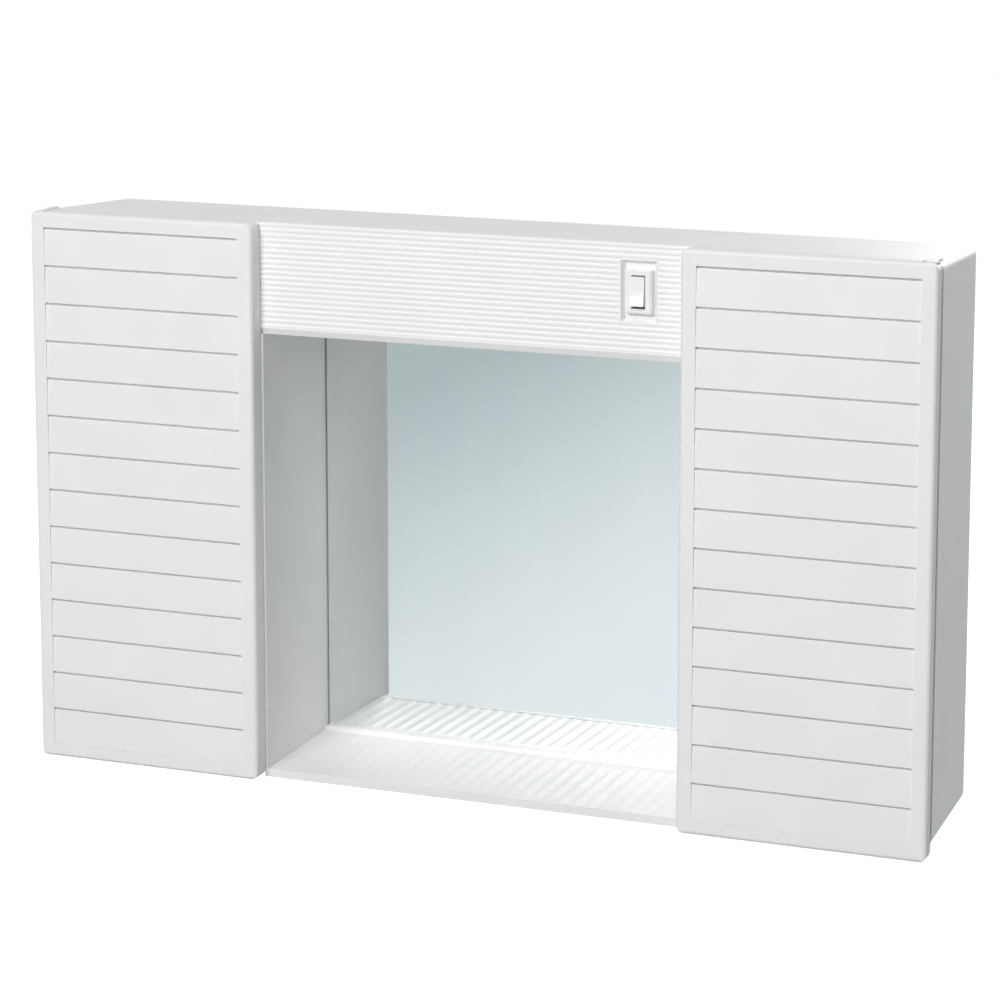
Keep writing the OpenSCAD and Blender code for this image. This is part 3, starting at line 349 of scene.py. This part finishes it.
# %% Edges
edge_width = {
    "cabinet_body": 0.0003, "left_door": 0.0003, "right_door": 0.0003,
    "light_cover": 0.0003, "switch_housing": 0.0003, "switch_rocker": 0.0007,
    "mirror_glass": 0.0005, "light_diffuser": 0.0003, "terminal_block": 0.0003,
    "left_upper_shelf": 0.0004, "left_lower_shelf": 0.0004,
    "right_upper_shelf": 0.0004, "right_lower_shelf": 0.0004,
    "left_catch": 0.0004, "right_catch": 0.0004,
}
same_spot = 0.000005
bevel_steps = 2
sharp_angle = 22
for name, width in edge_width.items():
    join = nodes[name].modifiers.new("join_points", "WELD")
    join.merge_threshold = same_spot
    bevel = nodes[name].modifiers.new("soft_edges", "BEVEL")
    bevel.width = width
    bevel.segments = bevel_steps
    bevel.limit_method = "ANGLE"
    bevel.angle_limit = math.radians(sharp_angle)
    bevel.use_clamp_overlap = True
    weigh = nodes[name].modifiers.new("flat_faces", "WEIGHTED_NORMAL")
    weigh.keep_sharp = True
print("pieces with softened edges:", len(edge_width))

# %% [markdown]
# ## Floor
#
# The cabinet hangs on a wall, so the floor lies some way below it. A wall could stand behind it as
# well, but it would hide the back when the cabinet is seen from there. So there is only a floor: a
# large round sheet, which belongs to the stage and not to the object.

# %% Floor
hang_height = 0.25
floor_radius = 9.0
floor_corners = 96
floor_z = low[2] - hang_height

floor_mesh = bpy.data.meshes.new("floor")
turns = [2 * math.pi * corner / floor_corners for corner in range(floor_corners)]
rim = [(floor_radius * math.cos(turn), floor_radius * math.sin(turn), floor_z) for turn in turns]
floor_mesh.from_pydata(rim, [], [list(range(floor_corners))])
floor = bpy.data.objects.new("floor", floor_mesh)
bpy.context.scene.collection.objects.link(floor)
print("floor height in millimetres:", round(1000 * floor_z, 1))

# %% [markdown]
# ## Tools for the floor and the surroundings
#
# The floor and the surroundings look different to the camera, to the lamps and to the mirror. That
# could be done with several floors, each hidden from the others' light, but one sheet that mixes its
# shaders is simpler. Two small tools do it: one mixes two shaders, the other turns a place or a
# direction into a number that fades from one value to another.

# %% Tools for the floor and the surroundings
def pick(tree, factor, first, second):
    """Mixes two shaders: the first where the factor is 0, the second where it is 1."""
    mixer = tree.nodes.new("ShaderNodeMixShader")
    tree.links.new(factor, mixer.inputs["Fac"])
    tree.links.new(first, mixer.inputs[1])
    tree.links.new(second, mixer.inputs[2])
    return mixer.outputs["Shader"]


def along(tree, place, axis, start, end, least, most, curve="LINEAR"):
    """Turns one coordinate of a place or a direction into a number."""
    split = tree.nodes.new("ShaderNodeSeparateXYZ")
    tree.links.new(place, split.inputs["Vector"])
    ranger = tree.nodes.new("ShaderNodeMapRange")
    ranger.interpolation_type = curve
    ranger.inputs["From Min"].default_value = start
    ranger.inputs["From Max"].default_value = end
    ranger.inputs["To Min"].default_value = least
    ranger.inputs["To Max"].default_value = most
    tree.links.new(split.outputs[axis], ranger.inputs["Value"])
    return ranger.outputs["Result"]


print("tools for the floor and the surroundings: 2")

# %% [markdown]
# ## How the floor looks
#
# The cabinet is shown on plain white. The floor could be made white by lighting it hard, but then the
# cabinet would be too bright. So the lamps meet a matte grey sheet, which throws back only a little
# light, and the camera sees a glow on top of it that makes it white. Only a deep shadow would still
# show, and faintly. The mirror sees a third thing: painted light, a glow in a cool pale tone that fades
# to a painted shade of grey towards the left, as a studio floor darkens away from its lights.

# %% How the floor looks
matte_tone = screen_tone(165, 165, 165)
camera_glow = 0.97
# Painted light: for glossy rays the floor glows from this pale tone near the lamps to a painted shade of
# grey far from them
painted_light_tone = screen_tone(239, 246, 250)
painted_shade_tone = screen_tone(181, 192, 195)
near_x = -0.2
far_x = -1.25


def floor_finish():
    finish = bpy.data.materials.new("pale_floor")
    finish.use_nodes = True
    tree = finish.node_tree
    tree.nodes.clear()
    ray = tree.nodes.new("ShaderNodeLightPath")
    # The lit sheet, and what the camera sees on top of it
    matte = tree.nodes.new("ShaderNodeBsdfDiffuse")
    matte.inputs["Color"].default_value = matte_tone
    glow = tree.nodes.new("ShaderNodeEmission")
    glow.inputs["Color"].default_value = (camera_glow, camera_glow, camera_glow, 1.0)
    tree.links.new(ray.outputs["Is Camera Ray"], glow.inputs["Strength"])
    lit = tree.nodes.new("ShaderNodeAddShader")
    tree.links.new(matte.outputs["BSDF"], lit.inputs[0])
    tree.links.new(glow.outputs["Emission"], lit.inputs[1])
    # What the mirror shows of it: painted light, a glow that fades to painted shade towards the left
    place = tree.nodes.new("ShaderNodeTexCoord")
    painted_falloff = along(tree, place.outputs["Object"], "X", far_x, near_x, 0.0, 1.0, "SMOOTHSTEP")
    tones = tree.nodes.new("ShaderNodeMix")
    tones.data_type = "RGBA"
    tones.inputs["A"].default_value = painted_shade_tone
    tones.inputs["B"].default_value = painted_light_tone
    tree.links.new(painted_falloff, tones.inputs["Factor"])
    painted_floor_glow = tree.nodes.new("ShaderNodeEmission")
    tree.links.new(tones.outputs["Result"], painted_floor_glow.inputs["Color"])
    both = pick(tree, ray.outputs["Is Glossy Ray"], lit.outputs["Shader"], painted_floor_glow.outputs["Emission"])
    out = tree.nodes.new("ShaderNodeOutputMaterial")
    tree.links.new(both, out.inputs["Surface"])
    return finish


floor_mesh.materials.append(floor_finish())
print("glow that the camera sees:", camera_glow)

# %% [markdown]
# ## Lamps
#
# One lamp from the front would flatten the cabinet, and one from high above would fill the niche with
# the light box's shadow. So the main lamp is a large soft panel in front, a little to the left and
# not very high: it makes the doors bright and leaves the niche's left wall grey. A second panel, high
# at the right, reaches the tray of the niche. Three panels behind lift the sides, the top and the
# back.

# %% Lamps
# Places and sizes are in metres. Each panel faces the middle of the cabinet.
middle = Vector((0.0, -0.06, -0.15))
panels = {
    "main_panel": {"place": (-0.35, -3.0, 1.2), "size": (1.5, 1.0), "watts": 67},
    "high_panel": {"place": (0.5, -2.5, 2.5), "size": (1.5, 1.0), "watts": 25},
    "right_panel": {"place": (1.5, 0.6, 0.9), "size": (0.8, 0.8), "watts": 7},
    "left_panel": {"place": (-1.5, 0.5, 0.2), "size": (0.8, 0.8), "watts": 9},
    "back_panel": {"place": (0.3, 3.0, 0.55), "size": (1.5, 1.0), "watts": 38},
}
for name, panel in panels.items():
    light = bpy.data.lights.new(name, "AREA")
    light.shape = "RECTANGLE"
    light.size, light.size_y = panel["size"]
    light.energy = panel["watts"]
    lamp = bpy.data.objects.new(name, light)
    lamp.location = panel["place"]
    lamp.rotation_euler = (middle - lamp.location).to_track_quat("-Z", "Y").to_euler()
    bpy.context.scene.collection.objects.link(lamp)
print("lamps:", len(panels))

# %% [markdown]
# ## Surroundings
#
# A faint even light comes from all around, as from the walls of a room. More of it would be simple,
# but it would take the shade out of the niche. The camera sees the surroundings as white. Glossy
# faces see white behind the cabinet, and in front of it a cooler room that is pale at the horizon
# and greyer higher up, so that the mirror has something to show.

# %% Surroundings
even_level = 0.09
room_tone = (0.93, 0.98, 1.0, 1.0)
room_at_horizon = 0.8
room_above = 0.32
white = (1.0, 1.0, 1.0, 1.0)

world = bpy.data.worlds.new("surroundings")
bpy.context.scene.world = world
world.use_nodes = True
sky = world.node_tree
sky.nodes.clear()


def background(tone, strength):
    """Adds surroundings of one tone and returns their node."""
    shade = sky.nodes.new("ShaderNodeBackground")
    shade.inputs["Color"].default_value = tone
    shade.inputs["Strength"].default_value = strength
    return shade


even = background(white, even_level)
room = background(room_tone, room_above)
plain_white = background(white, 1.0)
print("even light from all around:", even_level)

# %% [markdown]
# ## Who sees which surroundings
#
# A world can hold only one shader, so the three kinds of surroundings are mixed into one. The mixing
# could follow the direction alone, but then the camera would see the grey room. So it asks first what
# kind of ray is on its way, and uses the direction only for glossy rays.

# %% Who sees which surroundings
sky_ray = sky.nodes.new("ShaderNodeLightPath")
toward = sky.nodes.new("ShaderNodeTexCoord").outputs["Generated"]
room_fall = along(sky, toward, "Z", 0.0, 0.2, room_at_horizon, room_above)
sky.links.new(room_fall, room.inputs["Strength"])
behind = along(sky, toward, "Y", -0.2, 0.4, 0.0, 1.0)
glossy = pick(sky, behind, room.outputs["Background"], plain_white.outputs["Background"])
unseen = pick(sky, sky_ray.outputs["Is Glossy Ray"], even.outputs["Background"], glossy)
seen = pick(sky, sky_ray.outputs["Is Camera Ray"], unseen, plain_white.outputs["Background"])
sky_out = sky.nodes.new("ShaderNodeOutputWorld")
sky.links.new(seen, sky_out.inputs["Surface"])
print("brightness of the room in the mirror:", room_at_horizon, "at the horizon,", room_above, "above")

# %% [markdown]
# ## Camera
#
# The viewpoint was worked out from 280 edge points of the photograph. The camera stands to the right
# of the cabinet, a little above it, and looks down at it. The upright edges in the photograph hardly
# lean. A level camera with its frame shifted far down draws them so, but that shift would cut the
# cabinet off in other views. So this camera is tilted and its frame is shifted only a little, and it
# is placed so that the cabinet's corners land as near as they can to where the level camera puts
# them. The worst corner is off by about 14 pixels.

# %% Camera
camera_place = (0.7860, -1.9989, 0.3222)
turned_left = math.radians(21.93)
tilted_down = math.radians(9.56)
focal_in_frames = 3.3805
frame_shift = -0.18
sensor_width = 36

camera_data = bpy.data.cameras.new("camera")
camera_data.sensor_width = sensor_width
camera_data.lens = sensor_width * focal_in_frames
camera_data.shift_y = frame_shift
camera = bpy.data.objects.new("camera", camera_data)
camera.location = camera_place
camera.rotation_euler = (math.pi / 2 - tilted_down, 0, turned_left)
bpy.context.scene.collection.objects.link(camera)
bpy.context.scene.camera = camera
bpy.context.scene.view_settings.view_transform = "Standard"
print("lens in millimetres:", round(camera_data.lens, 1))
